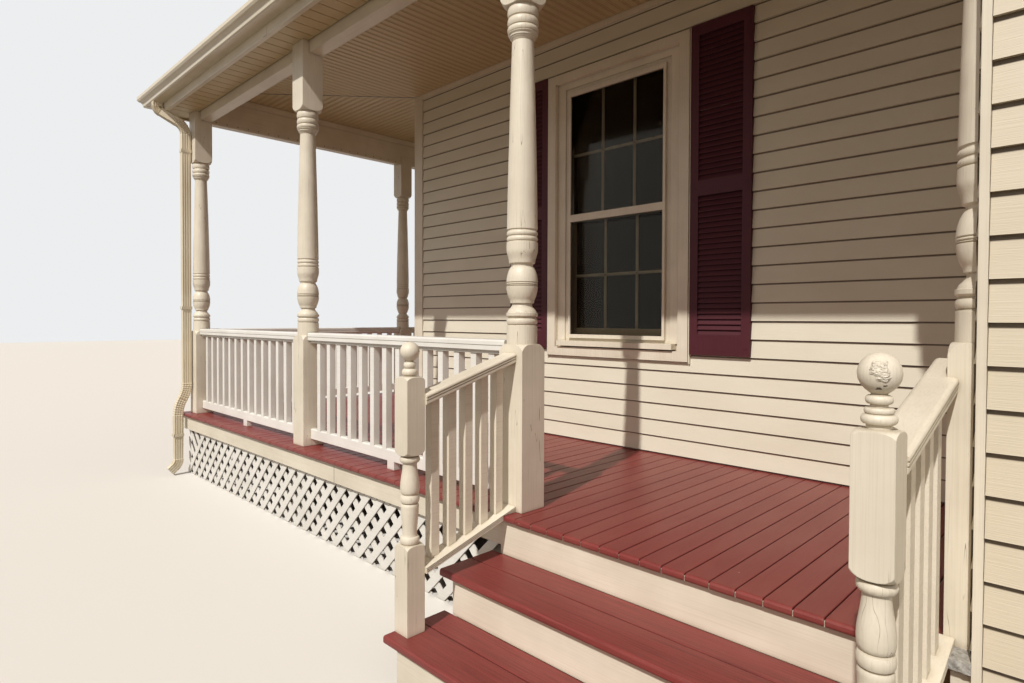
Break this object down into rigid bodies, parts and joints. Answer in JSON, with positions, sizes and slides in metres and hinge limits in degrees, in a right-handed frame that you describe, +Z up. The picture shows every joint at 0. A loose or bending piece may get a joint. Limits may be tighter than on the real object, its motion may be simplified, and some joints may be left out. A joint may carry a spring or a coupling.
{
  "type": "front porch",
  "caption": "Covered front porch with turned posts, white railings, steps and lattice, wrapping the corner of a clapboard house.",
  "frame": {"origin": "middle of the footprint, at ground level", "axes": "+X along the front wall to the right, +Y towards the house, +Z up"},
  "size_m": [6.614, 5.188, 4],
  "materials": {
    "siding": "satin beige vinyl clapboard",
    "trim": "cream satin paint, flaking in places",
    "white_paint": "white gloss paint",
    "deck_paint": "barn red floor paint, worn",
    "ceiling_paint": "tan satin paint on beaded boards",
    "gutter_enamel": "baked cream enamel",
    "shingle": "mineral granules on asphalt",
    "shutter_paint": "plum gloss paint",
    "lumber": "bare treated pine",
    "concrete": "rough cast concrete",
    "glass": "clear float glass over a dark room"
  },
  "bodies": {
    "root": {"front_wall": "siding", "side_wall": "siding", "right_wall_side": "siding", "right_wall_front": "siding", "deck_front": "deck_paint", "deck_side": "deck_paint", "front_joists": "lumber", "side_joists": "lumber", "front_piers": "concrete", "side_piers": "concrete", "skirt_front": "trim", "skirt_side": "trim", "skirt_end": "trim", "lattice_front": "white_paint", "lattice_side": "white_paint", "lattice_end": "white_paint", "lower_tread": "deck_paint", "upper_tread": "deck_paint", "risers": "trim", "stringers": "trim", "corner_post": "trim", "middle_post": "trim", "stair_post": "trim", "side_post": "trim", "end_post": "trim", "wall_post": "trim", "left_newel": "trim", "right_newel": "trim", "railing_front_left": "white_paint", "railing_front_right": "white_paint", "railing_side_front": "white_paint", "railing_side_back": "white_paint", "railing_end": "white_paint", "stair_rail_left": "trim", "stair_rail_right": "trim", "beam_front": "trim", "beam_side": "trim", "beam_end": "trim", "ceiling_front": "ceiling_paint", "ceiling_side": "ceiling_paint", "eave_front": "trim", "eave_side": "trim", "gable_end": "trim", "gutter_front": "gutter_enamel", "gutter_side": "gutter_enamel", "downspout": "gutter_enamel", "roof_front": "shingle", "roof_side": "shingle", "window_casing": "trim", "upper_sash": "trim", "lower_sash": "trim", "window_glass": "glass", "shutter_left": "shutter_paint", "shutter_right": "shutter_paint"}
  },
  "joints": []
}
